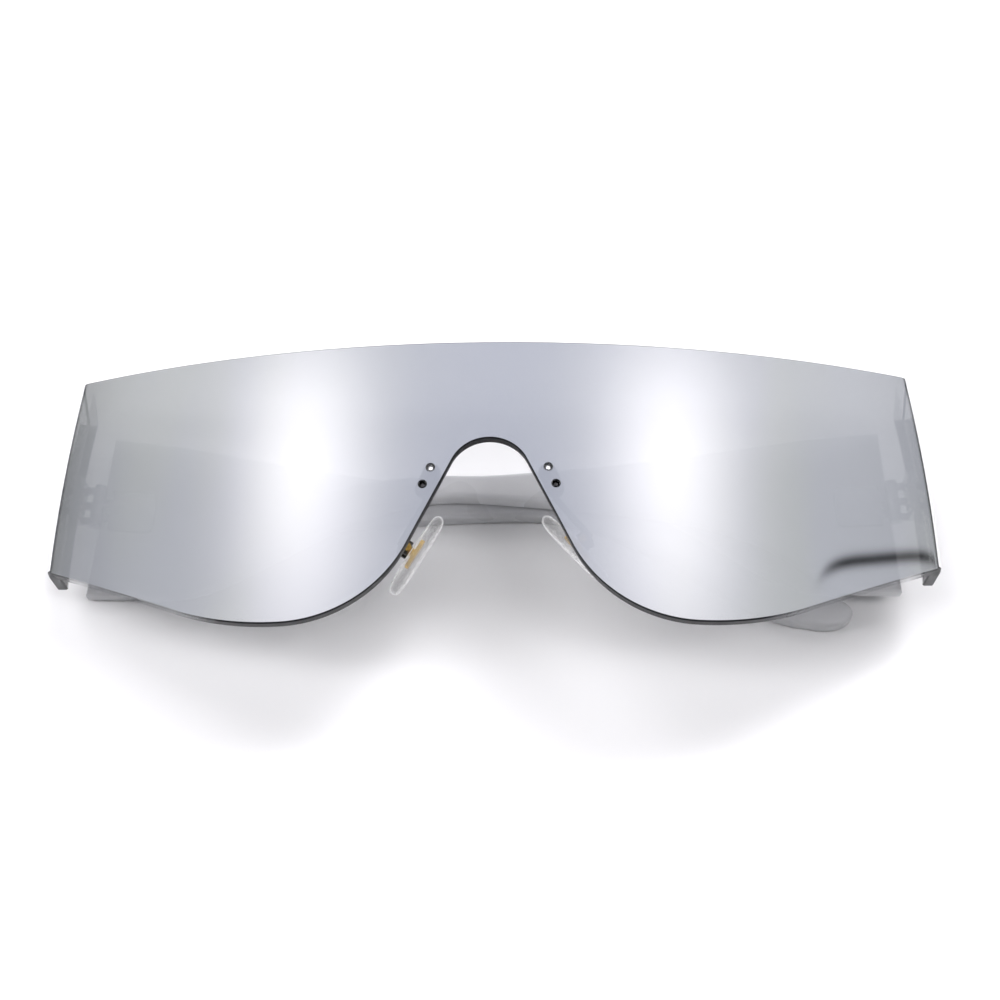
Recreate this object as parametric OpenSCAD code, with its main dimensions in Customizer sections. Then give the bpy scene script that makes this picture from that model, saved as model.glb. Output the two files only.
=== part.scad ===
// Rimless shield sunglasses, folded and lying on their temples.
// X runs across the face, Y up the shield and Z out of its front.
// The lens frame has its origin in the middle of the shield's height, on its foremost line.
// The whole part then lies over by a degree or two, so that the outer temple is flat on Z = 0.

/* [Shield] */
// Width of the shield across its lower corners
lens_w = 145; // [140:0.2:150]
// Height of the shield from the straight top edge to the lowest point of the lobes
lens_h = 47.4; // [46:0.2:49]
// Thickness of the shield
lens_t = 1.8; // [1.6:0.1:2.4]
// Radius of the shield's curve round the face
lens_curve_r = 190; // [180:5:220]
// Radius of the bowed side edges
side_bow_r = 250; // [220:10:320]
// Height of the lower corners above the lowest point of the lobes
corner_up = 13.1; // [12:0.1:14]
// Depth by which the side wings return behind the front corners
wing_depth = 7; // [6.4:0.2:8]
// Drop of the wing's upper edge from the front corner to its rear end
wing_drop = 3.7; // [2:0.1:5]

/* [Nose arch and lobes] */
// Depth of the bridge of lens material above the nose arch
bridge_h = 17.5; // [16:0.1:19]
// Radius of the round top of the nose arch
arch_r = 6.6; // [6:0.1:7.2]
// Distance of each lobe's lowest point from the middle, as a share of the shield's width
lobe_x_share = 0.2193; // [0.215:0.001:0.227]
// Radius of the lobe on its nose side, as a share of the shield's width
lobe_inner_share = 0.1448; // [0.138:0.001:0.151]
// Radius of the lobe on its outer side, as a share of the shield's width
lobe_outer_share = 0.3172; // [0.29:0.002:0.344]

/* [Temples] */
// Height of the temple blade above the hinge line
blade_up = 14.2; // [13:0.2:15]
// Depth of the temple blade below the hinge line
blade_down = 15.2; // [14:0.2:15.6]
// Thickness of the temple
temple_t = 3.4; // [3:0.1:3.8]
// Distance from the hinge axis to the tip of the temple, as a share of the shield's width
temple_reach_share = 0.8841; // [0.87:0.001:0.886]
// Height of the slim arm between the blade and the ear piece
arm_h = 4.8; // [4:0.1:5.4]
// Height of the paddle at the tip
tip_h = 5.6; // [5.2:0.1:5.9]
// Drop of the tip's lower edge below the hinge line
ear_drop = 18.5; // [18:0.1:19]
// Gap between the two temples where they cross
cross_gap = 0.4; // [0.3:0.05:0.6]
// Lean of each folded temple in its own plane, the outer one down and the inner one up
lean_deg = 0.7; // [0.4:0.1:0.9]

/* [Hinges] */
// Height of the hinge line above the middle of the shield
hinge_up = 4.3; // [3.6:0.1:5]
// Height of the hinge barrel and its leaves
hinge_h = 7; // [6:0.2:8]
// Outer radius of the barrel's knuckles
barrel_r = 1.1; // [1:0.05:1.15]
// Radius of the hinge screw
pin_r = 0.5; // [0.45:0.02:0.6]
// Number of knuckles in the barrel, an odd number
knuckles = 5; // [3:2:5]
// Thickness of the hinge leaves
leaf_t = 0.9; // [0.7:0.05:1]
// Radius of the rivets' shanks
rivet_r = 0.6; // [0.5:0.05:0.7]

/* [Nose pads] */
// Length of a nose pad
pad_l = 14.8; // [13:0.2:15.4]
// Width of a nose pad
pad_w = 7.4; // [6.6:0.2:8]
// Thickness of a nose pad
pad_t = 2; // [1.8:0.1:2.4]
// Outward slant of the pads, seen from the front
pad_slant = 30; // [26:1:34]
// Extra slant at which the wearer's left pad has come to rest
pad_rest = 12; // [0:0.5:13]
// Splay of the pads toward the face
pad_splay = 8; // [5:1:12]
// Diameter of the bent wire of the pad arms
wire_d = 1.1; // [0.9:0.05:1.3]
// Diameter of the mounting holes in the shield
mount_hole_d = 1.5; // [1.4:0.05:1.7]

/* [Hidden] */

// Facets of the small and the large circles
$fn = 48;
large_fn = 360;

// Overrun of every cut past the face it leaves
over = 1;
// Clearance between pieces that are clamped or glued to each other
seat = 0.02;

// Levels in the lens frame
top_y = lens_h / 2;
low_y = -lens_h / 2;
corner_y = low_y + corner_up;
arch_top_y = top_y - bridge_h;
arch_y = arch_top_y - arch_r;
corner_x = lens_w / 2;
bow_x = corner_x - side_bow_r;
front_corner_z = sqrt(pow(lens_curve_r, 2) - pow(corner_x, 2)) - lens_curve_r;
wing_rear_z = front_corner_z - wing_depth;
wing_mid_z = (front_corner_z + wing_rear_z) / 2;

// Half the width of the shield, or of a line a given depth inside its side edge, at a level
function side_x(y, inset) = bow_x + sqrt(pow(side_bow_r - inset, 2) - pow(y - corner_y, 2));

// The lobe's two arcs meet at its lowest point, below their centres
lobe_x = lobe_x_share * lens_w;
lobe_inner_r = lobe_inner_share * lens_w;
lobe_outer_r = lobe_outer_share * lens_w;
lobe_in = [lobe_x, low_y + lobe_inner_r];
lobe_out = [lobe_x, low_y + lobe_outer_r];
arch_c = [0, arch_y];

function unit(a) = [cos(a), sin(a)];
function heading(v) = atan2(v[1], v[0]);

// The arch flank touches the arch on one side and the lobe on the other
flank_a = heading(lobe_in - arch_c) + acos((arch_r + lobe_inner_r) / norm(lobe_in - arch_c));
arch_touch = arch_c + arch_r * unit(flank_a);
lobe_touch = lobe_in - lobe_inner_r * unit(flank_a);

// The lower edge runs straight from the corner onto the lobe's outer arc
corner = [corner_x, corner_y];
edge_a = heading(corner - lobe_out) - acos(lobe_outer_r / norm(corner - lobe_out));
edge_touch = lobe_out + lobe_outer_r * unit(edge_a);

// Points along an arc, both ends included
arc_step = 2.5;
function arc_count(a0, a1) = ceil(abs(a1 - a0) / arc_step);
function arc(c, r, a0, a1) = [
    for (i = [0 : arc_count(a0, a1)]) c + r * unit(a0 + (a1 - a0) * i / arc_count(a0, a1))
];
function turned_round(p) = [for (i = [len(p) - 1 : -1 : 0]) p[i]];
function mirrored(p) = [for (q = p) [-q[0], q[1]]];
function after_first(p) = [for (i = [1 : len(p) - 1]) p[i]];
function before_last(p) = [for (i = [0 : len(p) - 2]) p[i]];

// Outline of the right half down the side, round the lobe and up to the top of the arch
half_outline = concat(
    [[corner_x + over, top_y], corner + over * unit(edge_a + 90)],
    arc(lobe_out, lobe_outer_r, edge_a, -90),
    after_first(arc(lobe_in, lobe_inner_r, 270, flank_a + 180)),
    arc(arch_c, arch_r, flank_a, 90)
);

module both_sides() {
    children();
    mirror([1, 0, 0]) children();
}

// A drum standing along Z whose flank follows the right side edge, or an inset from it
module side_drum(inset) {
    translate([bow_x, corner_y, wing_rear_z - over]) rotate([0, 0, 180])
        cylinder(r = side_bow_r - inset, h = -wing_rear_z + 2 * over, $fn = large_fn);
}

module between_sides(inset) {
    intersection() {
        side_drum(inset);
        mirror([1, 0, 0]) side_drum(inset);
        children();
    }
}

// A drum lying along Y whose foremost line is the shield's front
module face_drum(r) {
    translate([0, 0, -lens_curve_r])
        rotate([90, 0, 0]) cylinder(r = r, h = 2 * lens_h, center = true, $fn = large_fn);
}

// The hollow behind the shield, between the two wings
module hollow() {
    between_sides(lens_t) face_drum(lens_curve_r - lens_t);
}

// The slanted cut along the wings' upper edges, seen from the side as depth and height
slant = wing_drop / wing_depth;
module wing_top_cut() {
    translate([-corner_x - over, 0, 0]) rotate([0, 90, 0])
        linear_extrude(2 * corner_x + 2 * over)
        polygon([
            [-front_corner_z, top_y], [-wing_rear_z + over, top_y - wing_drop - slant * over],
            [-wing_rear_z + over, top_y + over], [-front_corner_z, top_y + over]
        ]);
}

// Pads' mounting on the shield: two holes beside the arch flank
mount_mid = [9.85, -0.2];
mount_pitch = 3.1;
mount_turn = -67.5;
mount_tilt = asin(mount_mid[0] / lens_curve_r);

// Frame of one pad mount: origin on the shield's front, X along the line of the two holes
module at_mount() {
    translate([0, mount_mid[1], -lens_curve_r])
        rotate([0, mount_tilt, 0]) translate([0, 0, lens_curve_r])
        rotate([0, 0, mount_turn]) children();
}

module mount_pair() {
    for (s = [-1, 1]) translate([s * mount_pitch / 2, 0, 0]) children();
}

// The wings' lower edges run level, just under the corners
wing_step = 0.3;
wing_low_y = corner_y - wing_step;
module wing_low_cut() {
    translate([-corner_x - over, low_y - over, wing_rear_z - over])
        cube([2 * corner_x + 2 * over, wing_low_y - low_y + over,
            front_corner_z - lens_t - wing_rear_z + over]);
}

module shield_lens() {
    color([0.72, 0.74, 0.78]) difference() {
        between_sides(0) intersection() {
            face_drum(lens_curve_r);
            translate([0, 0, wing_rear_z]) linear_extrude(-wing_rear_z + over)
                polygon(concat(half_outline, turned_round(before_last(mirrored(half_outline)))));
        }
        hollow();
        wing_top_cut();
        wing_low_cut();
        both_sides() at_mount() mount_pair()
            translate([0, 0, -lens_t - over])
            cylinder(d = mount_hole_d, h = lens_t + 2 * over);
        both_sides() wing_rivet_axes() rivet_hole();
    }
}

// Hinges. The axis lies behind the wing's rear edge and is parallel to it, so that the open
// temple continues the wing. The temple's outer face then stands a little proud of the wing.
axis_back = 0.7;
face_off = 1.35;
front_edge = 0.3;
proud = 0.3;
hinge_y = hinge_up;
hinge_z = wing_rear_z - axis_back;
hinge_x = side_x(hinge_y, 0) + proud - face_off - temple_t;
axis_tilt = asin((hinge_y - corner_y) / side_bow_r);

// The two crossed temples stay level with each other, and the shield lies over by this angle
lie = atan((temple_t + cross_gap) / (2 * hinge_x));
lift = face_off + temple_t + hinge_x * sin(lie) - (hinge_z - wing_mid_z) * cos(lie);

// Carries the lens frame into the frame of the part as it lies
module lying() {
    translate([0, 0, lift]) rotate([0, -lie, 0]) translate([0, 0, -wing_mid_z]) children();
}

function lain(p) = [
    p[0] * cos(lie) - (p[2] - wing_mid_z) * sin(lie),
    p[1],
    p[0] * sin(lie) + (p[2] - wing_mid_z) * cos(lie) + lift
];

hinge_right = lain([-hinge_x, hinge_y, hinge_z]);
hinge_left = lain([hinge_x, hinge_y, hinge_z]);

// Frame of one folded temple: X along it and Z toward the shield, with its hinge at the origin
module at_temple(right) {
    if (right) translate(hinge_right) rotate([0, 0, -lean_deg]) children();
    else translate(hinge_left) rotate([0, 0, -lean_deg]) mirror([1, 0, 0]) children();
}

// Frame of one hinge, which is the same but has Y along the axis
module at_hinge(right) {
    at_temple(right) rotate([0, 0, -axis_tilt]) children();
}

// Knuckles alternate: the even slots belong to the wing leaf, the odd ones to the temple leaf
knuckle_gap = 0.15;
slot_h = hinge_h / knuckles;
bore_clear = 0.04;

// A knuckle with its web, which starts inside the barrel and runs to a place along X
web_root = 0.3;
module knuckle(slot, web_x, web_w, web_z) {
    side = sign(web_x);
    translate([0, -hinge_h / 2 + slot * slot_h + knuckle_gap / 2, 0]) {
        rotate([-90, 0, 0]) cylinder(r = barrel_r, h = slot_h - knuckle_gap);
        translate([min(-side * web_root, web_x), 0, web_z])
            cube([abs(web_x) + web_root, slot_h - knuckle_gap, web_w]);
    }
}

module barrel_bore() {
    rotate([90, 0, 0])
        cylinder(r = pin_r + bore_clear, h = hinge_h + 2 * over, center = true);
}

// The wing leaf is curved with the wall that it is riveted to
wing_leaf_l = 4.9;
wing_leaf_edge = 0.1;
leaf_z = wing_rear_z + wing_leaf_edge;
web_rise = 0.2;
wing_web_x = side_x(hinge_y, lens_t + leaf_t / 2) - hinge_x;

module wing_plate() {
    difference() {
        intersection() {
            side_drum(lens_t);
            translate([hinge_x, hinge_y - hinge_h / 2, leaf_z])
                cube([corner_x, hinge_h, wing_leaf_l]);
        }
        side_drum(lens_t + leaf_t);
    }
}

// Two rivets, one above the other, square to the curved wall. Their frame has X along the rivet.
rivet_pitch = 3.6;
rivet_depth = lens_t + leaf_t;
wing_rivet_z = leaf_z + wing_leaf_l / 2;

module wing_rivet_axes() {
    for (s = [-1, 1])
        translate([bow_x, corner_y, wing_rivet_z])
            rotate([0, 0, asin((hinge_y + s * rivet_pitch / 2 - corner_y) / side_bow_r)])
            translate([side_bow_r, 0, 0]) children();
}

module rivet_hole() {
    translate([-rivet_depth - over, 0, 0]) rotate([0, 90, 0])
        cylinder(r = rivet_r + seat, h = rivet_depth + 2 * over);
}

head_r = 1.1;
head_h = 0.45;
head_top_share = 0.6;

module rivet_head() {
    cylinder(r1 = head_r, r2 = head_r * head_top_share, h = head_h);
}

// A rivet along X with its outer head past X = 0 and its inner head past the clamped depth
module wing_rivet() {
    translate([-rivet_depth, 0, 0]) rotate([0, 90, 0]) cylinder(r = rivet_r, h = rivet_depth);
    rotate([0, 90, 0]) rivet_head();
    translate([-rivet_depth, 0, 0]) rotate([0, -90, 0]) rivet_head();
}

module wing_rivets() {
    color("silver") wing_rivet_axes() wing_rivet();
}

module wing_leaf(right) {
    color("silver") {
        difference() {
            union() {
                lying() mirror([right ? 1 : 0, 0, 0]) wing_plate();
                wing_knuckles(right);
            }
            at_hinge(right) barrel_bore();
            lying() mirror([right ? 1 : 0, 0, 0]) wing_rivet_axes() rivet_hole();
        }
    }
}

module wing_knuckles(right) {
    for (slot = [0 : 2 : knuckles - 1])
        at_hinge(right) knuckle(slot, -wing_web_x, barrel_r - 2 * web_rise, web_rise);
}

// The temple leaf lies on the temple's inner face
temple_leaf_l = 7.6;
temple_leaf_x = 2.1;
temple_rivet_in = 1.7;
temple_rivet_pitch = 4;
temple_rivet_x = temple_leaf_x + temple_rivet_in;
leaf_corner_r = 1.2;
leaf_lap = 0.3;

module temple_rivet_axes() {
    for (x = [temple_rivet_x, temple_rivet_x + temple_rivet_pitch]) translate([x, 0, 0]) children();
}

module temple_plate() {
    mid_x = temple_leaf_x + temple_leaf_l - leaf_corner_r;
    translate([0, 0, -face_off]) {
        translate([temple_leaf_x, -hinge_h / 2, 0])
            cube([temple_leaf_l - leaf_corner_r, hinge_h, leaf_t]);
        for (s = [-1, 1]) translate([mid_x, s * (hinge_h / 2 - leaf_corner_r), 0])
            cylinder(r = leaf_corner_r, h = leaf_t);
        translate([mid_x, leaf_corner_r - hinge_h / 2, 0])
            cube([leaf_corner_r, hinge_h - 2 * leaf_corner_r, leaf_t]);
    }
}

module temple_leaf(right) {
    color("silver") at_hinge(right) difference() {
        union() {
            temple_plate();
            for (slot = [1 : 2 : knuckles - 2])
                knuckle(slot, temple_leaf_x + leaf_t / 2, leaf_t - leaf_lap, leaf_lap - face_off);
        }
        barrel_bore();
        temple_rivet_axes() temple_rivet_hole();
    }
}

module temple_rivet_hole() {
    translate([0, 0, -face_off - temple_t - over])
        cylinder(r = rivet_r + seat, h = temple_t + leaf_t + 2 * over);
}

module temple_rivets(right) {
    color("silver") at_hinge(right) temple_rivet_axes() {
        translate([0, 0, -face_off - temple_t])
            cylinder(r = rivet_r, h = temple_t + leaf_t);
        translate([0, 0, leaf_t - face_off]) rivet_head();
    }
}

// The hinge screw fills the barrel and has a slotted head on its upper end
screw_head_h = 0.5;
screw_head_r = 1.1;
slot_w = 0.25;
slot_d = 0.25;

module hinge_screw(right) {
    color("gainsboro") at_hinge(right) {
        translate([0, -hinge_h / 2, 0]) rotate([-90, 0, 0]) cylinder(r = pin_r, h = hinge_h);
        translate([0, hinge_h / 2, 0]) rotate([-90, 0, 0]) difference() {
            cylinder(r = screw_head_r, h = screw_head_h);
            translate([-screw_head_r - over, -slot_w / 2, screw_head_h - slot_d])
                cube([2 * screw_head_r + 2 * over, slot_w, slot_d + over]);
        }
    }
}

// Temple outline, with the hinge at its origin. The blade narrows into the slim arm, which
// bends down into the ear piece. Its front end is cut parallel to the hinge axis.
temple_reach = temple_reach_share * lens_w;
arm_low = 0.3;
arm_up = arm_low + arm_h;
tip_low = -ear_drop;
tip_up = tip_low + tip_h;
blade_flat = 6;
function front_x(v) = front_edge / cos(axis_tilt) + v * tan(axis_tilt);

// Rows of a place along the temple, as a share of its reach, and a level. The level is a share
// of the blade's height or depth, of the arm's height below its edge, or of the tip's height.
blade_top_shares = [[0.12, 0.88], [0.31, 0.58]];
arm_top_shares = [[0.52, 0], [0.62, 0.12], [0.74, 0.8]];
tip_top_shares = [[0.9, 1.35], [0.965, 1]];
blade_low_shares = [[0.075, 0.94], [0.11, 0.78], [0.18, 0.42], [0.3, 0.15]];
arm_low_shares = [[0.52, 0], [0.62, 0.08], [0.72, 1]];
tip_low_shares = [[0.88, 0.42], [0.955, 0]];

upper_edge = concat(
    [[front_x(blade_up), blade_up]],
    [for (s = blade_top_shares) [s[0] * temple_reach, s[1] * blade_up]],
    [for (s = arm_top_shares) [s[0] * temple_reach, arm_up - s[1] * arm_h]],
    [for (s = tip_top_shares) [s[0] * temple_reach, tip_low + s[1] * tip_h]]
);
lower_edge = concat(
    [[blade_flat, -blade_down]],
    [for (s = blade_low_shares) [s[0] * temple_reach, -s[1] * blade_down]],
    [for (s = arm_low_shares) [s[0] * temple_reach, arm_low - s[1] * arm_h]],
    [for (s = tip_low_shares) [s[0] * temple_reach, tip_low + s[1] * tip_h]]
);
front_low = [front_x(-blade_down), -blade_down];

// Smooth curve through a list of points, with a few steps between neighbours
curve_steps = 6;
function pick(p, i) = p[max(0, min(len(p) - 1, i))];
function spline(a, b, c, d, t) =
    b + (t * (c - a) + t * t * (2 * a - 5 * b + 4 * c - d) + t * t * t * (3 * b - a - 3 * c + d)) / 2;
function smooth(p) = [
    for (i = [0 : len(p) - 2], k = [0 : curve_steps - 1])
        spline(pick(p, i - 1), p[i], p[i + 1], pick(p, i + 2), k / curve_steps),
    p[len(p) - 1]
];

// The tip is closed by a half round, slanted as the paddle is
tip_end = [upper_edge[len(upper_edge) - 1], lower_edge[len(lower_edge) - 1]];
tip_c = (tip_end[0] + tip_end[1]) / 2;
tip_r = norm(tip_end[0] - tip_end[1]) / 2;
tip_a = heading(tip_end[0] - tip_c);
tip_steps = 12;
tip_reach_share = (temple_reach - tip_c[0]) / tip_r;
tip_round = [
    for (k = [1 : tip_steps - 1])
        let (a = tip_a - k * 180 / tip_steps, w = sin(k * 180 / tip_steps))
        tip_c + tip_r * unit(a) + [w * (tip_reach_share - 1) * tip_r, 0]
];

module temple(right) {
    color([0.86, 0.88, 0.9, 0.8]) difference() {
        at_temple(right) translate([0, 0, -face_off - temple_t])
            linear_extrude(temple_t)
            polygon(concat(
                smooth(upper_edge), tip_round, turned_round(smooth(lower_edge)), [front_low]
            ));
        at_hinge(right) temple_rivet_axes() temple_rivet_hole();
    }
}

// Pad mount: a small oblong plate behind the shield with two studs, a bent wire and a box
plate_t = 0.7;
plate_w = 2.8;
stud_r = 0.5;
stud_short = 0.6;
sleeve_wall = mount_hole_d / 2 - seat - stud_r - seat;
bend_r = 2.4;
box_right = [13.25, -9.5, -8];
box_left = [14.8, -8.3, -8];
function box_at(right) = right ? box_right : box_left;
box_l = 2.3;
box_w = 2.5;
box_wall = 0.55;
box_back = 1.2;
box_front = 0.5;
wire_seat = 0.06;
pad_pin_r = 0.35;

// Frame of one pad: origin on its rocking axis, X toward the arm, Y along the pad
module at_pad(right) {
    translate(box_at(right)) rotate([0, 0, pad_slant]) rotate([0, -pad_splay, 0]) children();
}

// Frame of the pad itself, which may rest rocked about the axis
module at_rocked_pad(right) {
    at_pad(right) rotate([0, 0, right ? 0 : pad_rest]) children();
}

module pad_box() {
    difference() {
        translate([-box_front, -box_l / 2, -box_w / 2])
            cube([box_front + box_back, box_l, box_w]);
        translate([-box_front - over, -box_l / 2 - over, box_wall - box_w / 2])
            cube([box_front + box_back - box_wall + over, box_l + 2 * over, box_w - 2 * box_wall]);
        translate([0, 0, -box_w]) cylinder(r = pad_pin_r + seat, h = 2 * box_w);
    }
}

// The wire comes down along the back of the box and ends halfway, joined to its back wall
box_out = [cos(pad_slant) * cos(pad_splay), sin(pad_slant) * cos(pad_splay), sin(pad_splay)];
wire_back = box_back - box_wall + wire_d / 2 + wire_seat;
function wire_end(right) = box_at(right) + wire_back * box_out;
function wire_run(right) = [wire_end(right)[0], wire_end(right)[1]] - mount_mid;

module nose_arm(right) {
    low_z = wire_end(right)[2];
    run = wire_run(right);
    color([0.25, 0.24, 0.24]) {
        at_mount() {
            translate([0, 0, -lens_t - seat - plate_t]) {
                mount_pair() cylinder(d = plate_w, h = plate_t);
                translate([-mount_pitch / 2, -plate_w / 2, 0])
                    cube([mount_pitch, plate_w, plate_t]);
                mount_pair() cylinder(r = stud_r, h = plate_t + seat + lens_t - stud_short);
            }
        }
        translate(mount_mid) rotate([0, 0, heading(run)]) {
            translate([0, 0, low_z + bend_r])
                cylinder(d = wire_d, h = -low_z - bend_r - lens_t - plate_t / 2);
            translate([bend_r, 0, low_z + bend_r]) rotate([90, 0, 0])
                rotate([0, 0, 180]) rotate_extrude(angle = 90)
                translate([bend_r, 0]) circle(d = wire_d);
            translate([bend_r, 0, low_z]) rotate([0, 90, 0])
                cylinder(d = wire_d, h = norm(run) - bend_r);
        }
        at_pad(right) pad_box();
    }
}

module stud_sleeves() {
    color([0.9, 0.9, 0.92, 0.6]) at_mount() mount_pair()
        translate([0, 0, -lens_t + seat]) difference() {
            cylinder(r = stud_r + seat + sleeve_wall, h = lens_t - 2 * seat);
            translate([0, 0, -over]) cylinder(r = stud_r + seat, h = lens_t + 2 * over);
        }
}

// Pad: a clear cushion moulded on a gilt core, which rocks on a tiny screw through the box
pad_pin_clear = 0.05;
core_l = 5.4;
core_w = 1.7;
core_t = 0.6;
tab_l = 1.1;
tab_gap = 0.12;
pad_back = 0.85;
pad_head_r = 0.65;
pad_head_h = 0.35;
tab_w = box_w - 2 * box_wall - 2 * tab_gap;
core_in = 0.35;

module pad_screw(right) {
    color("goldenrod") at_pad(right) {
        translate([0, 0, -box_w / 2]) cylinder(r = pad_pin_r, h = box_w);
        translate([0, 0, box_w / 2]) difference() {
            cylinder(r = pad_head_r, h = pad_head_h);
            translate([-pad_head_r - over, -slot_w / 2, pad_head_h - slot_d / 2])
                cube([2 * pad_head_r + 2 * over, slot_w, slot_d + over]);
        }
    }
}

module core_plate(extra) {
    translate([-pad_back - core_in - core_t - extra, 0, 0]) rotate([0, 90, 0])
        linear_extrude(core_t + 2 * extra) {
            square([core_w + 2 * extra, core_l - core_w], center = true);
            for (s = [-1, 1]) translate([0, s * (core_l - core_w) / 2])
                circle(d = core_w + 2 * extra);
        }
}

module core_tab(extra) {
    translate([-pad_back - core_in - core_t / 2, -tab_l / 2 - extra, -tab_w / 2 - extra])
        cube([pad_back + core_in + core_t / 2, tab_l + 2 * extra, tab_w + 2 * extra]);
}

module pad_core(right) {
    color("gold") at_rocked_pad(right) difference() {
        union() {
            core_plate(0);
            core_tab(0);
            cylinder(r = tab_l / 2, h = tab_w, center = true);
        }
        cylinder(r = pad_pin_r + pad_pin_clear, h = 2 * box_w, center = true);
    }
}

// The pad is oblong with round ends, and its rims are stepped in on both faces
pad_round = pad_w / 2;
pad_rim_share = 0.2;

module pad_outline(inset) {
    for (s = [-1, 1]) translate([0, s * (pad_l / 2 - pad_round)]) circle(r = pad_round - inset);
    translate([inset - pad_round, pad_round - pad_l / 2])
        square([2 * pad_round - 2 * inset, pad_l - 2 * pad_round]);
}

module nose_pad(right) {
    rim = pad_rim_share * pad_t;
    color([0.93, 0.94, 0.95, 0.7]) at_rocked_pad(right) difference() {
        translate([-pad_back, 0, 0]) rotate([0, -90, 0]) {
            linear_extrude(rim) pad_outline(rim);
            translate([0, 0, rim]) linear_extrude(pad_t - 2 * rim) pad_outline(0);
            translate([0, 0, pad_t - rim]) linear_extrude(rim) pad_outline(rim);
        }
        core_plate(seat);
        core_tab(seat);
    }
}

module on_side(right) {
    lying() mirror([right ? 1 : 0, 0, 0]) children();
}

lying() shield_lens();
on_side(true) nose_arm(true);  // nose_arm_right
on_side(false) nose_arm(false);  // nose_arm_left
on_side(true) stud_sleeves();  // stud_sleeves_right
on_side(false) stud_sleeves();  // stud_sleeves_left
on_side(true) pad_screw(true);  // pad_screw_right
on_side(false) pad_screw(false);  // pad_screw_left
on_side(true) pad_core(true);  // pad_core_right
on_side(false) pad_core(false);  // pad_core_left
on_side(true) nose_pad(true);  // nose_pad_right
on_side(false) nose_pad(false);  // nose_pad_left
wing_leaf(true);  // wing_leaf_right
wing_leaf(false);  // wing_leaf_left
on_side(true) wing_rivets();  // wing_rivets_right
on_side(false) wing_rivets();  // wing_rivets_left
hinge_screw(true);  // hinge_screw_right
hinge_screw(false);  // hinge_screw_left
temple_leaf(true);  // temple_leaf_right
temple_leaf(false);  // temple_leaf_left
temple_rivets(true);  // temple_rivets_right
temple_rivets(false);  // temple_rivets_left
temple(true);  // temple_right
temple(false);  // temple_left
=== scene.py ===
from math import acos, asin, atan2, cos, hypot, pi, radians, sin, sqrt, tan

import bpy
import bmesh
from mathutils import Matrix, Vector


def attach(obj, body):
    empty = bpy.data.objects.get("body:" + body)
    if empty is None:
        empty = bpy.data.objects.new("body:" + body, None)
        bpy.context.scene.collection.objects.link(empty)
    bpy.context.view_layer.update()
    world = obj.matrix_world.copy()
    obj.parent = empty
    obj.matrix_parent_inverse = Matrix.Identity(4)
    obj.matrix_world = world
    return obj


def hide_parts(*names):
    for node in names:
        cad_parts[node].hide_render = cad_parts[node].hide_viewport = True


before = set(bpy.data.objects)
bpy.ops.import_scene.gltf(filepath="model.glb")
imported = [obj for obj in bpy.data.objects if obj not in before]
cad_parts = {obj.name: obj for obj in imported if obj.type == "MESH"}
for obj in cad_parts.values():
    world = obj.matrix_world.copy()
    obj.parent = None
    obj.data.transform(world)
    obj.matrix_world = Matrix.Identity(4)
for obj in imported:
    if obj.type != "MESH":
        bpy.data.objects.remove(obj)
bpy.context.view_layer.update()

scene = bpy.context.scene


# View
# The folded glasses lie on a table, and the camera looks down on them from the front at 65 degrees.
# It stands close, so that the far edge of the shield looks a little smaller than the near one.

azimuth, elevation, roll = radians(-0.219), radians(65.561), radians(0.525)
eye = (0.0008127, -0.1092414, 0.259032)
focal_length, film_width = 58.681, 36
away = Vector((sin(azimuth) * cos(elevation), -cos(azimuth) * cos(elevation), sin(elevation)))
level = (-away).cross(Vector((0, 0, 1))).normalized()
upright = level.cross(-away)
right_hand = cos(roll) * level + sin(roll) * upright
overhead = cos(roll) * upright - sin(roll) * level

camera = bpy.data.objects.new("camera", bpy.data.cameras.new("camera"))
scene.collection.objects.link(camera)
camera.matrix_world = Matrix((right_hand, overhead, away)).transposed().to_4x4()
camera.location = eye
camera.data.sensor_width = film_width
camera.data.lens = focal_length
camera.data.clip_start = 0.01
camera.data.clip_end = 50
scene.camera = camera
scene.view_settings.view_transform = "Standard"


# Table and studio
# A plain white table top in a pale room, lit from above by four soft lamps. The shield reflects the room:
# two tall soft boxes, walls that drift from grey to blue, and one thin dark rail at the right.

class Value:
    """A socket's output that can be used in sums."""

    def __init__(self, finish, socket):
        self.finish = finish
        self.socket = socket

    def maths(self, operation, other=None, flipped=False):
        inputs = {0: self} if other is None else {0: other, 1: self} if flipped else {0: self, 1: other}
        return self.finish.node("ShaderNodeMath", {"operation": operation}, inputs)

    def __add__(self, other):
        return self.maths("ADD", other)

    def __sub__(self, other):
        return self.maths("SUBTRACT", other)

    def __mul__(self, other):
        return self.maths("MULTIPLY", other)

    def __truediv__(self, other):
        return self.maths("DIVIDE", other)

    def __pow__(self, other):
        return self.maths("POWER", other)

    def __rsub__(self, other):
        return self.maths("SUBTRACT", other, True)

    def __abs__(self):
        return self.maths("ABSOLUTE")

    __radd__ = __add__
    __rmul__ = __mul__


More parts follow.
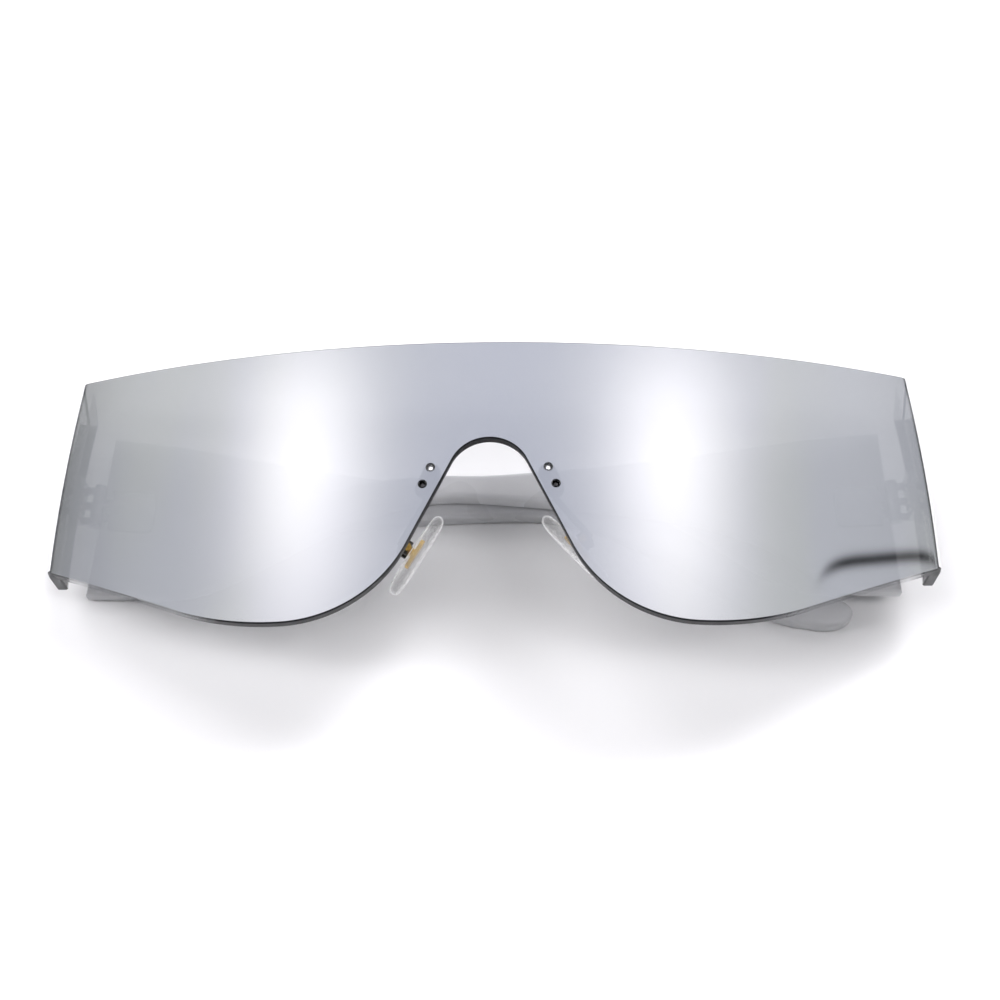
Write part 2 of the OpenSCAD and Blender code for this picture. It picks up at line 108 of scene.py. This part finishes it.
class Finish:
    """A surface's shader, built node by node."""

    def __init__(self, owner):
        owner.use_nodes = True
        self.owner = owner
        self.tree = owner.node_tree
        self.tree.nodes.clear()

    def node(self, kind, settings=None, inputs=None, output=0):
        made = self.tree.nodes.new(kind)
        for name, value in (settings or {}).items():
            if name == "stops":
                ramp = made.color_ramp
                for place, tone in value[1:-1]:
                    ramp.elements.new(place)
                for element, (place, tone) in zip(ramp.elements, value):
                    element.position = place
                    element.color = tone if hasattr(tone, "__len__") else (tone, tone, tone, 1)
            else:
                setattr(made, name, value)
        for name, value in (inputs or {}).items():
            if isinstance(value, Value):
                self.tree.links.new(value.socket, made.inputs[name])
            else:
                made.inputs[name].default_value = value
        return Value(self, made.outputs[output]) if made.outputs else made

    def noise(self, scale, detail=3, roughness=0.5, stretch=(1, 1, 1)):
        place = self.node("ShaderNodeMapping", None, {
            "Vector": self.node("ShaderNodeTexCoord", None, None, "Object"), "Scale": stretch})
        return self.node("ShaderNodeTexNoise", None, {
            "Vector": place, "Scale": scale, "Detail": detail, "Roughness": roughness})

    def ramp(self, value, *stops):
        return self.node("ShaderNodeValToRGB", {"stops": stops}, {"Fac": value})

    def mix(self, factor, first, second):
        return self.node("ShaderNodeMix", {"data_type": "RGBA"}, {0: factor, 6: first, 7: second}, 2)

    def bump(self, height, strength, distance):
        return self.node("ShaderNodeBump", None, {
            "Height": height, "Strength": strength, "Distance": distance})

    def surface(self, shader):
        self.node("ShaderNodeOutputMaterial", None, {"Surface": shader})
        return self.owner


def finish(name):
    """A new surface finish, ready for its nodes."""
    return Finish(bpy.data.materials.new(name))


table_half = 6
table_white = (0.9, 0.9, 0.9, 1)
table_mesh = bpy.data.meshes.new("table_top")
table_mesh.from_pydata(
    [(x * table_half, y * table_half, 0) for x, y in ((-1, -1), (1, -1), (1, 1), (-1, 1))],
    [], [(0, 1, 2, 3)])
table = bpy.data.objects.new("table_top", table_mesh)
scene.collection.objects.link(table)

paint = finish("table_white")
table_mesh.materials.append(paint.surface(paint.node("ShaderNodeBsdfPrincipled", None, {
    "Base Color": table_white, "Roughness": 0.9, "Specular IOR Level": 0})))

room = bpy.data.worlds.new("room")
scene.world = room
air = Finish(room)
way = air.node("ShaderNodeTexCoord", None, None, "Generated")
across, ahead, up = [air.node("ShaderNodeSeparateXYZ", None, {0: way}, k) for k in range(3)]
turn = across.maths("ARCTAN2", up) * (180 / pi)


def soft(distance, width):
    """One at no distance, fading smoothly to nothing past a width."""
    return (((distance / width) ** 2) * -1).maths("EXPONENT")


# Seen in the shield. Turns are in degrees to the side, and ahead is the share of the way to the horizon.
left_turn, left_half, left_strength = -28.5, 9.1, 0.74
right_turn, right_half, right_strength = 20.8, 9.3, 0.75
boxes_ahead, boxes_fade = 0.43, 0.11
dip_ahead, dip_fade, dip = 0.52, 0.05, 0.6
boxes = ((soft(turn - left_turn, left_half) * left_strength
          + soft(turn - right_turn, right_half) * right_strength)
         * soft(ahead - boxes_ahead, boxes_fade) * (1 - soft(ahead - dip_ahead, dip_fade) * dip))

wall_grey, wall_blue = (0.525, 0.545, 0.56, 1), (0.50, 0.515, 0.61, 1)
wall_deep, deep_turn, deep_half = (0.475, 0.50, 0.595, 1), -2, 24
clouds = air.ramp(
    air.node("ShaderNodeTexNoise", None, {"Vector": way, "Scale": 5, "Detail": 1, "Roughness": 0.4}),
    (0.42, 0), (0.6, 0.45))
walls = air.mix(soft(turn - deep_turn, deep_half), air.mix(clouds, wall_grey, wall_blue), wall_deep)
sides_turn, sides_fade, sides_dark = 75, 15, 0.85
dimmed = 1 - soft(abs(turn) - sides_turn, sides_fade) * sides_dark

rail_turn, rail_half = 49.3, 8.4
rail_ahead, rail_bow, rail_thick = 0.3718, 0.0055, 0.0038
off_rail = abs(turn - rail_turn) / rail_half
rail = soft(ahead - rail_ahead + (off_rail ** 5) * rail_bow, rail_thick) * soft(off_rail ** 4, 1.1)

# Four lamps light whatever is not glossy: place and spread across, place ahead, strength.
lamp_depth, room_glow = 0.1, 0.02
above = room_glow
for lamp_across, lamp_spread, lamp_ahead, strength in (
        (-0.43, 0.21, 0.528, 10.4), (0.33, 0.21, 0.528, 24.6),
        (-0.583, 0.507, -0.039, 11.5), (0.379, 0.156, -0.152, 14.8)):
    lamp = soft(across - lamp_across, lamp_spread) * soft(ahead - lamp_ahead, lamp_depth) * strength
    above = lamp + above

box_white, lamp_white, ground_white = (1, 0.965, 0.975, 1), (1, 0.99, 1.02, 1), (1, 1, 1, 1)
reflected = air.node("ShaderNodeAddShader", None, {
    0: air.node("ShaderNodeBackground", None, {"Color": walls, "Strength": dimmed * (1 - rail)}),
    1: air.node("ShaderNodeBackground", None, {"Color": box_white, "Strength": boxes})})
lamps = air.node("ShaderNodeBackground", None, {"Color": lamp_white, "Strength": above})
ground = air.node("ShaderNodeBackground", None, {"Color": ground_white, "Strength": 1})
camera_ray, clear_ray, glossy_ray = [
    air.node("ShaderNodeLightPath", None, None, "Is " + kind + " Ray")
    for kind in ("Camera", "Transmission", "Glossy")]
lit = air.node("ShaderNodeMixShader", None, {0: glossy_ray, 1: lamps, 2: reflected})
air.node("ShaderNodeOutputWorld", None, {"Surface": air.node("ShaderNodeMixShader", None, {
    0: camera_ray.maths("MAXIMUM", clear_ray), 1: lit, 2: ground})})


# Shield
# One sheet of grey polycarbonate, 1.8 mm thick, moulded with a wing turned back at each side.
# Its front is vacuum coated with a silver mirror, the back stays clear smoke.
# The cut edges look dark.

mm = 0.001
lens_w = 145
lens_h = 47.4
lens_t = 1.8
curve_r = 190
bow_r = 250
top_y = lens_h / 2
low_y = -top_y
corner_x = lens_w / 2
corner_rise = 13.1
corner_y = low_y + corner_rise
bow_x = corner_x - bow_r
front_corner_z = sqrt(curve_r ** 2 - corner_x ** 2) - curve_r
wing_depth = 7
wing_drop = 3.7
wing_rear_z = front_corner_z - wing_depth
wing_mid_z = (front_corner_z + wing_rear_z) / 2
wing_low_y = corner_y - 0.3

arch_r = 6.6
bridge_h = 17.5
arch_y = top_y - bridge_h - arch_r
lobe_x = 31.8
lobe_inner_r = 21
lobe_outer_r = 46

lie = radians(1.60983)
lift = 10.8476
lying = (Matrix.Scale(mm, 4) @ Matrix.Translation((0, 0, lift)) @ Matrix.Rotation(-lie, 4, "Y")
         @ Matrix.Translation((0, 0, -wing_mid_z)))


def side_x(y):
    return bow_x + sqrt(bow_r ** 2 - (y - corner_y) ** 2)


lobe_in = (lobe_x, low_y + lobe_inner_r)
lobe_out = (lobe_x, low_y + lobe_outer_r)
to_lobe = (lobe_in[0], lobe_in[1] - arch_y)
flank_a = atan2(to_lobe[1], to_lobe[0]) + acos((arch_r + lobe_inner_r) / hypot(*to_lobe))
arch_end = (arch_r * cos(flank_a), arch_y + arch_r * sin(flank_a))
flank_end = (lobe_in[0] - lobe_inner_r * cos(flank_a), lobe_in[1] - lobe_inner_r * sin(flank_a))
to_corner = (corner_x - lobe_out[0], corner_y - lobe_out[1])
edge_a = atan2(to_corner[1], to_corner[0]) - acos(lobe_outer_r / hypot(*to_corner))
edge_start = (lobe_out[0] + lobe_outer_r * cos(edge_a), lobe_out[1] + lobe_outer_r * sin(edge_a))


def lower_edge(x):
    """Level of the shield's lower edge at a place across it."""
    x = abs(x)
    if x < arch_end[0]:
        return arch_y + sqrt(arch_r ** 2 - x * x)
    if x < flank_end[0]:
        return (arch_end[1] + (flank_end[1] - arch_end[1])
                * (x - arch_end[0]) / (flank_end[0] - arch_end[0]))
    if x < lobe_x:
        return lobe_in[1] - sqrt(lobe_inner_r ** 2 - (x - lobe_x) ** 2)
    if x < edge_start[0]:
        return lobe_out[1] - sqrt(lobe_outer_r ** 2 - (x - lobe_x) ** 2)
    return (edge_start[1] + (corner_y - edge_start[1])
            * (x - edge_start[0]) / (corner_x - edge_start[0]))


front_corner_r = 1.5
back_corner_r = 0.5
rim = 0.22


def section_point(place, y, inner):
    """A point of the shield's section at a level.

    Place 0 to 1 lies on the front, 1 to 2 round the corner and 2 to 3 on the wing.
    """
    depth = lens_t if inner else 0
    bend = back_corner_r if inner else front_corner_r
    side = side_x(y) - depth
    drum = curve_r - depth
    middle = (side - bend, sqrt((drum - bend) ** 2 - (side - bend) ** 2) - curve_r)
    start_a = asin((side - bend) / (drum - bend))
    if place <= 1:
        x = place * drum * sin(start_a)
        return x, sqrt(drum ** 2 - x * x) - curve_r
    if place <= 2:
        a = start_a + (pi / 2 - start_a) * (place - 1)
        return middle[0] + bend * sin(a), middle[1] + bend * cos(a)
    return side, middle[1] + (wing_rear_z - middle[1]) * (place - 2)


def span(place, inner):
    """Lowest and highest level of the shield's section at a place."""
    if place <= 1:
        low = low_y
        for _ in range(8):
            low = lower_edge(section_point(place, low, inner)[0])
        high = top_y
    else:
        low = wing_low_y if inner or place > 2 else corner_y
        high = top_y
    for _ in range(4):
        z = section_point(place, high, inner)[1]
        high = top_y - max(0, (front_corner_z - z)) * wing_drop / wing_depth
    return low, high


# Stations along the section stand closer together where the lower edge is steep.
places = []
x_now = 0.0
reach_x = section_point(1, corner_y, False)[0]
widest_step, steepest, nudge = 0.55, 2.5, 0.05
while x_now < reach_x:
    places.append(x_now / reach_x)
    slope = abs(lower_edge(x_now + nudge) - lower_edge(max(0, x_now - nudge))) / (2 * nudge)
    x_now += widest_step / sqrt(1 + min(slope, steepest) ** 2)
corner_steps, wing_steps = 6, 8
places += [1 + k / corner_steps for k in range(corner_steps + 1)]
places += [2 + k / wing_steps for k in range(1, wing_steps)] + [3 - 0.03, 3]
rows = 30


def station(place, end_in):
    """One closed ring of points round the shield's thickness: front, top edge, back and bottom edge."""
    (front_low, front_high), (back_low, back_high) = span(place, False), span(place, True)
    ring = []
    for k in range(rows + 1):
        low, high = front_low + rim + end_in, front_high - rim - end_in
        ring.append((end_in / lens_t, low + (high - low) * k / rows))
    for share in (rim / lens_t, 1 - rim / lens_t):
        ring.append((share, front_high * (1 - share) + back_high * share - end_in))
    for k in range(rows, -1, -1):
        low, high = back_low + rim + end_in, back_high - rim - end_in
        ring.append((1 - end_in / lens_t, low + (high - low) * k / rows))
    for share in (1 - rim / lens_t, rim / lens_t):
        ring.append((share, front_low * (1 - share) + back_low * share + end_in))
    points = []
    for share, y in ring:
        x, z = Vector(section_point(place, y, False)).lerp(Vector(section_point(place, y, True)), share)
        points.append((x, y, z))
    return points


ring_size = 2 * (rows + 1) + 4
corners = []
for place in [-p for p in reversed(places[1:])] + places:
    ring = station(abs(place), rim if abs(place) == 3 else 0)
    corners += [((-1 if place < 0 else 1) * x, y, z) for x, y, z in ring]

mirrored, see_through, edge_cut, bevelled = range(4)
stations = 2 * len(places) - 1
faces, tones = [], []
for s in range(stations - 1):
    for k in range(ring_size):
        n = (k + 1) % ring_size
        a, b = s * ring_size, (s + 1) * ring_size
        faces.append((a + k, b + k, b + n, a + n))
        tones.append(mirrored if k < rows else bevelled if k in (rows, ring_size - 1)
                     else see_through if k < 2 * rows + 3 else edge_cut)
for s in (0, stations - 1):
    a = s * ring_size
    for k in range(-1, rows):
        last = a + 2 * rows + 3 - k
        quad = (a + k % ring_size, a + k + 1, last - 1, last)
        faces.append(quad if s == 0 else quad[::-1])
        tones.append(edge_cut)
    top = (a + rows, a + rows + 1, a + rows + 2, a + rows + 3)
    faces.append(top if s == 0 else top[::-1])
    tones.append(edge_cut)

# The mirror is on the front and the wings' outer faces. The sheet itself is a see-through smoke grey.
silver, smoke_grey = (0.895, 0.895, 0.9, 1), (0.22, 0.23, 0.26, 1)
silver_cover, smoke_cover = 0.88, 0.2
coat = finish("silver_mirror")
smear = coat.noise(55, 4, 0.6)
shield_tones = [coat.surface(coat.node("ShaderNodeBsdfPrincipled", None, {
    "Base Color": silver, "Metallic": 1, "Roughness": smear * 0.03 + 0.01, "Alpha": silver_cover}))]
smoke = finish("smoke_back")
shield_tones.append(smoke.surface(smoke.node("ShaderNodeBsdfPrincipled", None, {
    "Base Color": smoke_grey, "Roughness": smoke.noise(90) * 0.1 + 0.04, "Alpha": smoke_cover})))

# The cut edges are nearly black. Low down towards the corners they are painted paler and clearer, a painted
# highlight where light catches the lower edge.
edge_dark, edge_painted_light = (0.012, 0.0125, 0.014, 1), (0.2, 0.205, 0.21, 1)
for name, clear in (("cut_edge", 0.92), ("polished_bevel", 0.65)):
    cut = finish(name)
    place = cut.node("ShaderNodeTexCoord", None, None, "Object")
    reach, rise = [cut.node("ShaderNodeSeparateXYZ", None, {0: place}, k) for k in (0, 1)]
    outward = cut.ramp(abs(reach) * 10, (0.42, 0), (0.5, 1), (0.665, 1), (0.7, 0.25))
    # Painted highlight: this mask makes the lower edge paler and clearer towards the corners.
    painted_light = outward * cut.ramp(rise * 50 + 0.5, (0.5, 1), (0.6, 0))
    shield_tones.append(cut.surface(cut.node("ShaderNodeBsdfPrincipled", None, {
        "Base Color": cut.mix(painted_light, edge_dark, edge_painted_light), "Alpha": 1 - painted_light * clear,
        "Roughness": cut.noise(300) * 0.2 + 0.25, "Specular IOR Level": 0.2})))


def placed(name, mesh, tones, body, slot, *nodes):
    """Puts a finished piece in the scene, on its body, in place of the CAD nodes that it stands for."""
    piece = bpy.data.objects.new(name, mesh)
    scene.collection.objects.link(piece)
    for tone in tones:
        mesh.materials.append(tone)
    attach(piece, body)
    if nodes:
        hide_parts(*nodes)
    return piece


def moulded(name, points, faces, tones=None, crease=35):
    """A closed mesh from points in the part's frame, in metres, shaded smooth up to an angle."""
    work = bmesh.new()
    corners = [work.verts.new(p) for p in points]
    for k, face in enumerate(faces):
        made = work.faces.new([corners[i] for i in face])
        made.smooth = True
        if tones:
            made.material_index = tones[k]
    bmesh.ops.recalc_face_normals(work, faces=work.faces)
    mesh = bpy.data.meshes.new(name)
    work.to_mesh(mesh)
    work.free()
    mesh.set_sharp_from_angle(angle=radians(crease))
    return mesh


shield = placed(
    "shield", moulded("shield", [lying @ Vector(p) for p in corners], faces, tones), shield_tones,
    "front", "mirrored_shield", "shield_lens")

# Two mounting holes beside each flank of the arch, and two for the rivets in each wing, are drilled.
mount_mid = (9.85, -0.2)
mount_pitch = 3.1
mount_lean = radians(-67.5)
at_mount = (Matrix.Translation((0, mount_mid[1], -curve_r))
            @ Matrix.Rotation(asin(mount_mid[0] / curve_r), 4, "Y")
            @ Matrix.Translation((0, 0, curve_r)) @ Matrix.Rotation(mount_lean, 4, "Z"))
hinge_y = 4.3
rivet_z = wing_rear_z + 2.55
rivet_pitch = 3.6
stud_hole_r, rivet_hole_r, drill_l = 0.75, 0.62, 6
flip = Matrix.Diagonal((-1, 1, 1, 1))

drill = bmesh.new()
for side in (Matrix.Identity(4), flip):
    for step in (-0.5, 0.5):
        rise = asin((hinge_y + step * rivet_pitch - corner_y) / bow_r)
        at_rivet = (Matrix.Translation((bow_x, corner_y, rivet_z)) @ Matrix.Rotation(rise, 4, "Z")
                    @ Matrix.Translation((bow_r, 0, 0)) @ Matrix.Rotation(pi / 2, 4, "Y"))
        at_stud = at_mount @ Matrix.Translation((step * mount_pitch, 0, 0))
        for radius, place in ((stud_hole_r, at_stud), (rivet_hole_r, at_rivet)):
            bmesh.ops.create_cone(drill, cap_ends=True, segments=32, radius1=radius, radius2=radius,
                                  depth=drill_l, matrix=lying @ side @ place)
bmesh.ops.recalc_face_normals(drill, faces=drill.faces)
for face in drill.faces:
    face.material_index = edge_cut
drill_mesh = bpy.data.meshes.new("drill")
drill.to_mesh(drill_mesh)
drill.free()
for tone in shield_tones:
    drill_mesh.materials.append(tone)
driller = bpy.data.objects.new("drill", drill_mesh)
scene.collection.objects.link(driller)
holes = shield.modifiers.new("holes", "BOOLEAN")
holes.operation = "DIFFERENCE"
holes.solver = "EXACT"
holes.object = driller
drilled = bpy.data.meshes.new_from_object(shield.evaluated_get(bpy.context.evaluated_depsgraph_get()))
shield.modifiers.clear()
shield.data = drilled
drilled.set_sharp_from_angle(angle=radians(35))
bpy.data.objects.remove(driller)


# Nose arms and their small parts
# Each arm is a dark plated plate, two studs, a bent wire and a small box, brazed together as one piece. Part
# of the plating's near-black tone is painted shade, for the shadow the arms lie in.
# The studs sit in clear sleeves in the shield's holes, and a gilt screw crosses each box.

def plated(name, colour, worn, roughness, grain, bumps):
    """Plated or polished metal, with a fine grain and slightly worn spots."""
    metal = finish(name)
    patches = metal.noise(900, 3, 0.6)
    metal_grain = metal.noise(grain, 2, 0.5)
    tone = metal.mix(metal.ramp(patches, (0.45, 0), (0.75, 1)), colour, worn)
    return metal.surface(metal.node("ShaderNodeBsdfPrincipled", None, {
        "Base Color": tone, "Metallic": 1, "Roughness": metal_grain * 0.12 + roughness,
        "Normal": metal.bump(metal_grain, bumps, 0.00002)}))


def dressed(tone, *nodes):
    """Gives CAD nodes their finish."""
    for name in nodes:
        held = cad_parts[name].data
        held.materials.clear()
        held.materials.append(tone)


dark_metal_and_shade, dark_metal_worn = (0.075, 0.072, 0.072, 1), (0.16, 0.155, 0.15, 1)
gold, gold_worn = (0.80, 0.51, 0.12, 1), (0.84, 0.61, 0.24, 1)
stud_painted_light, stud_worn = (0.95, 0.95, 0.96, 1), (0.98, 0.98, 0.98, 1)
# Near-black metal: the arms' own dark plating, deepened as painted shade for the arms and lower studs in
# shadow.
shaded_dark_metal = plated("shaded_dark_metal", dark_metal_and_shade, dark_metal_worn, 0.2, 3000, 0.2)
gilt = plated("gilt", gold, gold_worn, 0.14, 2500, 0.2)
dressed(shaded_dark_metal, "nose_arm_right", "nose_arm_left")
dressed(gilt, "pad_screw_right", "pad_screw_left", "pad_core_right", "pad_core_left")

# Each stud ends in a low dome inside its hole. The upper one is near-white rough steel as painted light, for
# the light that shows through its hole; the lower one keeps the arm's dark metal, with its painted shade.
# Painted light: the upper stud is made much brighter than the arm it belongs to.
painted_light_steel = plated("painted_light_stud", stud_painted_light, stud_worn, 0.42, 3000, 0.15)
stud_r, stud_dome, stud_depth = 0.6, 0.25, 0.35
around, dome_rings = 24, 7
for side, mirror in (("right", flip), ("left", Matrix.Identity(4))):
    points, faces, tones = [], [], []
    for end, step in enumerate((-0.5, 0.5)):
        at_stud = (lying @ mirror @ at_mount
                   @ Matrix.Translation((step * mount_pitch, 0, -stud_depth - stud_dome)))
        first = len(points)
        for ring in range(dome_rings):
            a = pi / 2 * ring / dome_rings
            points += [at_stud @ Vector((stud_r * cos(a) * cos(k * 2 * pi / around),
                                         stud_r * cos(a) * sin(k * 2 * pi / around), stud_dome * sin(a)))
                       for k in range(around)]
        points.append(at_stud @ Vector((0, 0, stud_dome)))
        for ring in range(dome_rings - 1):
            for k in range(around):
                n = (k + 1) % around
                faces.append([first + ring * around + i for i in (k, n, n + around, k + around)])
        last_ring, peak = first + (dome_rings - 1) * around, first + dome_rings * around
        faces += [(last_ring + k, last_ring + (k + 1) % around, peak) for k in range(around)]
        faces.append([first + k for k in reversed(range(around))])
        tones += [end] * (len(faces) - len(tones))
    placed("stud_ends_" + side, moulded("stud_ends_" + side, points, faces, tones),
           [painted_light_steel, shaded_dark_metal], "front", "dark_metal")

sleeve_clear = (0.93, 0.94, 0.95, 1)
sleeve = finish("clear_sleeve")
dressed(sleeve.surface(sleeve.node("ShaderNodeBsdfPrincipled", None, {
    "Base Color": sleeve_clear, "Transmission Weight": 1, "IOR": 1.5,
    "Roughness": sleeve.noise(1500) * 0.1 + 0.05})), "stud_sleeves_right", "stud_sleeves_left")


# Nose pads
# Oblong cushions of clear silicone, 2 mm thick, moulded round the gilt inserts.
# Their rims are round, their faces a little crowned, and they rock on the screws through the boxes.

def inset(outline, depth):
    """A closed outline drawn in by a depth, each point along the middle of its corner."""
    drawn = []
    for k, point in enumerate(outline):
        before, here = Vector(outline[k - 1]), Vector(point)
        after = Vector(outline[(k + 1) % len(outline)])
        first, second = (here - before).normalized(), (after - here).normalized()
        across = (first + second).normalized()
        inward = Vector((-across.y, across.x))
        drawn.append(here + inward * depth / max(0.5, across.dot(first)))
    return drawn


def rounded_slab(outline, thick, edge, crown=0, steps=5):
    """Points and faces of a slab with an anticlockwise outline, round edges and crowned faces."""
    border, crown_run = 0.12, 6
    flat = [(edge + border, 0)]
    if crown:
        flat += [(edge + crown * share * crown_run, crown * share * (share - 2))
                 for share in (0.25, 0.5, 0.75, 1)]
    rings = [(depth, crown + drop) for depth, drop in reversed(flat)]
    for k in range(steps + 1):
        a = pi / 2 * k / steps
        rings.append((edge * (1 - sin(a)), crown + edge * (1 - cos(a))))
    rings += [(depth, thick - level) for depth, level in reversed(rings)]
    points, faces = [], []
    for depth, level in rings:
        points += [(x, y, level) for x, y in inset(outline, depth)]
    count = len(outline)
    for r in range(len(rings) - 1):
        for k in range(count):
            n = (k + 1) % count
            faces.append((r * count + k, r * count + n, (r + 1) * count + n, (r + 1) * count + k))
    faces.append(tuple(reversed(range(count))))
    faces.append(tuple(range((len(rings) - 1) * count, len(rings) * count)))
    return points, faces


pad_l, pad_w, pad_t = 14.8, 7.4, 2
pad_taper = 0.1
pad_edge, pad_crown = 0.75, 0.18
end_fullness, side_fullness, pad_points = 0.85, 0.8, 72
pad_outline = []
for k in range(pad_points):
    a = 2 * pi * k / pad_points
    along = (pad_l / 2) * (abs(sin(a)) ** end_fullness) * (1 if sin(a) > 0 else -1)
    wide = (pad_w / 2) * (abs(cos(a)) ** side_fullness) * (1 if cos(a) > 0 else -1)
    pad_outline.append((wide * (1 - pad_taper * (along / pad_l * 2 + 1) / 2), along))

# Clear and faintly cloudy face on. Where the rim turns away it has a painted highlight, a bright grainy line
# that glows, and at its very edge a thin painted dark line.
silicone = finish("clear_silicone")
grazing = silicone.node("ShaderNodeLayerWeight", {}, {"Blend": 0.35}, 1)
grain = (silicone.noise(1300, 4, 0.65, (1, 0.4, 1)) - 0.5) * 4 + 1
silicone_tone = silicone.surface(silicone.node("ShaderNodeBsdfPrincipled", None, {
    # Painted light in the colour: paler towards the rim, dark at its very edge.
    "Base Color": silicone.ramp(grazing, (0.4, 0.42), (0.75, 0.85), (0.86, 0.8), (0.95, 0.2)),
    "Alpha": (silicone.ramp(grazing, (0.2, 0.3), (0.6, 0.36), (0.8, 0.8))
              * silicone.ramp(grain, (0.4, 0.5), (1.0, 1))),
    "Roughness": silicone.noise(700, 4, 0.6) * 0.1 + 0.04,
    # Painted highlight: the rim glows, broken up by the grain.
    "Emission Color": silicone.ramp(grazing * grain, (0.4, 0), (0.68, 0.9), (0.82, 0.8), (0.9, 0)),
    "Emission Strength": 0.5,
    "Normal": silicone.bump(grain, 0.5, 0.00008)}))

# The left pad rests rocked a little further than the right one.
pad_splay, pad_lean, screw_to_pad = radians(30), radians(-8), 0.85
for side, mirror, box_at, rest in (
        ("right", flip, (13.25, -9.5, -8), 0), ("left", Matrix.Identity(4), (14.8, -8.3, -8), 12)):
    at_pad = (lying @ mirror @ Matrix.Translation(box_at) @ Matrix.Rotation(pad_splay, 4, "Z")
              @ Matrix.Rotation(pad_lean, 4, "Y") @ Matrix.Rotation(radians(rest), 4, "Z")
              @ Matrix.Translation((-screw_to_pad, 0, 0)) @ Matrix.Rotation(-pi / 2, 4, "Y"))
    points, faces = rounded_slab(pad_outline, pad_t, pad_edge, pad_crown)
    placed("pad_" + side, moulded("pad_" + side, [at_pad @ Vector(p) for p in points], faces, None, 50),
           [silicone_tone], "pad_" + side, "clear_silicone", "nose_pad_" + side)


# Hinges
# Five-knuckle hinges of nickel steel. One leaf is riveted to the wing, the other to the temple.
# A slotted screw holds the two barrels together.

steel_grey, steel_worn = (0.55, 0.55, 0.56, 1), (0.68, 0.68, 0.69, 1)
steel = plated("hinge_steel", steel_grey, steel_worn, 0.16, 2000, 0.25)
dressed(steel, *[part + side for side in ("right", "left")
                 for part in ("wing_leaf_", "wing_rivets_", "hinge_screw_", "temple_leaf_", "temple_rivets_")])


# Temples
# Cut from a 3.4 mm sheet of clear grey plastic and tumbled until the edges are round and the faces silky.
# A wide blade carries the hinge, narrows to the slim arm and ends in the bent ear piece.

temple_reach = 0.8841 * lens_w
temple_t = 3.4
face_off = 1.35
temple_edge = 0.85
blade_up, blade_down = 14.2, 15.2
arm_low, arm_h = 0.3, 4.8
arm_up = arm_low + arm_h
tip_low, tip_h = -18.5, 5.6
axis_tilt = asin((hinge_y - corner_y) / bow_r)
front_gap = 0.3


def front_at(level):
    """How far from the hinge pin the blade's front edge lies at a level."""
    return front_gap / cos(axis_tilt) + level * tan(axis_tilt)


upper = [(front_at(blade_up), blade_up)]
upper += [(s * temple_reach, t * blade_up) for s, t in ((0.12, 0.88), (0.31, 0.58))]
upper += [(s * temple_reach, arm_up - t * arm_h) for s, t in ((0.52, 0), (0.62, 0.12), (0.74, 0.8))]
upper += [(s * temple_reach, tip_low + t * tip_h) for s, t in ((0.9, 1.35), (0.965, 1))]
lower = [(6, -blade_down)]
lower += [(s * temple_reach, -t * blade_down)
          for s, t in ((0.075, 0.94), (0.11, 0.78), (0.18, 0.42), (0.3, 0.15))]
lower += [(s * temple_reach, arm_low - t * arm_h) for s, t in ((0.52, 0), (0.62, 0.08), (0.72, 1))]
lower += [(s * temple_reach, tip_low + t * tip_h) for s, t in ((0.88, 0.42), (0.955, 0))]


def faired(points, steps=6):
    """A smooth curve through a list of points."""
    marks = [Vector(p) for p in points]
    curve = []
    for i in range(len(marks) - 1):
        a, b, c, d = marks[max(0, i - 1)], marks[i], marks[i + 1], marks[min(len(marks) - 1, i + 2)]
        for k in range(steps):
            t = k / steps
            curve.append(b + (t * (c - a) + t * t * (2 * a - 5 * b + 4 * c - d)
                              + t ** 3 * (3 * b - a - 3 * c + d)) / 2)
    return curve + [marks[-1]]


tip_mid = (Vector(upper[-1]) + Vector(lower[-1])) / 2
tip_across = Vector(upper[-1]) - tip_mid
tip_stretch = (temple_reach - tip_mid.x) / tip_across.length
tip_round = []
tip_steps = 12
for k in range(1, tip_steps):
    a = atan2(tip_across.y, tip_across.x) - k * pi / tip_steps
    tip_round.append(tip_mid + tip_across.length * Vector(
        (cos(a) + sin(k * pi / tip_steps) * (tip_stretch - 1), sin(a))))
temple_outline = (faired(upper) + tip_round + list(reversed(faired(lower)))
                  + [Vector((front_at(-blade_down), -blade_down))])
temple_outline = [tuple(p) for p in reversed(temple_outline)]

clear_grey = (0.71, 0.715, 0.73, 1)
crystal = finish("clear_grey_plastic")
rimward = crystal.node("ShaderNodeLayerWeight", {}, {"Blend": 0.3}, 1)
crystal_tone = crystal.surface(crystal.node("ShaderNodeBsdfPrincipled", None, {
    "Base Color": clear_grey, "Alpha": crystal.ramp(rimward, (0.2, 0.76), (0.9, 0.92)),
    "Roughness": crystal.noise(30, 2, 0.5) * 0.06 + 0.25}))

# The left temple is folded first. The right one lies outside it and rests on the table.
pin_turn = radians(-0.7)
for side, mirror, hinge in (
        ("right", Matrix.Identity(4), (-67.4609, 4.3, 4.75)), ("left", flip, (67.6969, 4.3, 8.5485))):
    at_temple = (Matrix.Scale(mm, 4) @ Matrix.Translation(hinge) @ Matrix.Rotation(pin_turn, 4, "Z")
                 @ mirror @ Matrix.Translation((0, 0, -face_off - temple_t)))
    points, faces = rounded_slab(temple_outline, temple_t, temple_edge)
    arm_mesh = moulded("temple_arm_" + side, [at_temple @ Vector(p) for p in points], faces, None, 40)
    placed("temple_arm_" + side, arm_mesh,
           [crystal_tone], "temple_" + side, "temple_plastic", "temple_" + side)
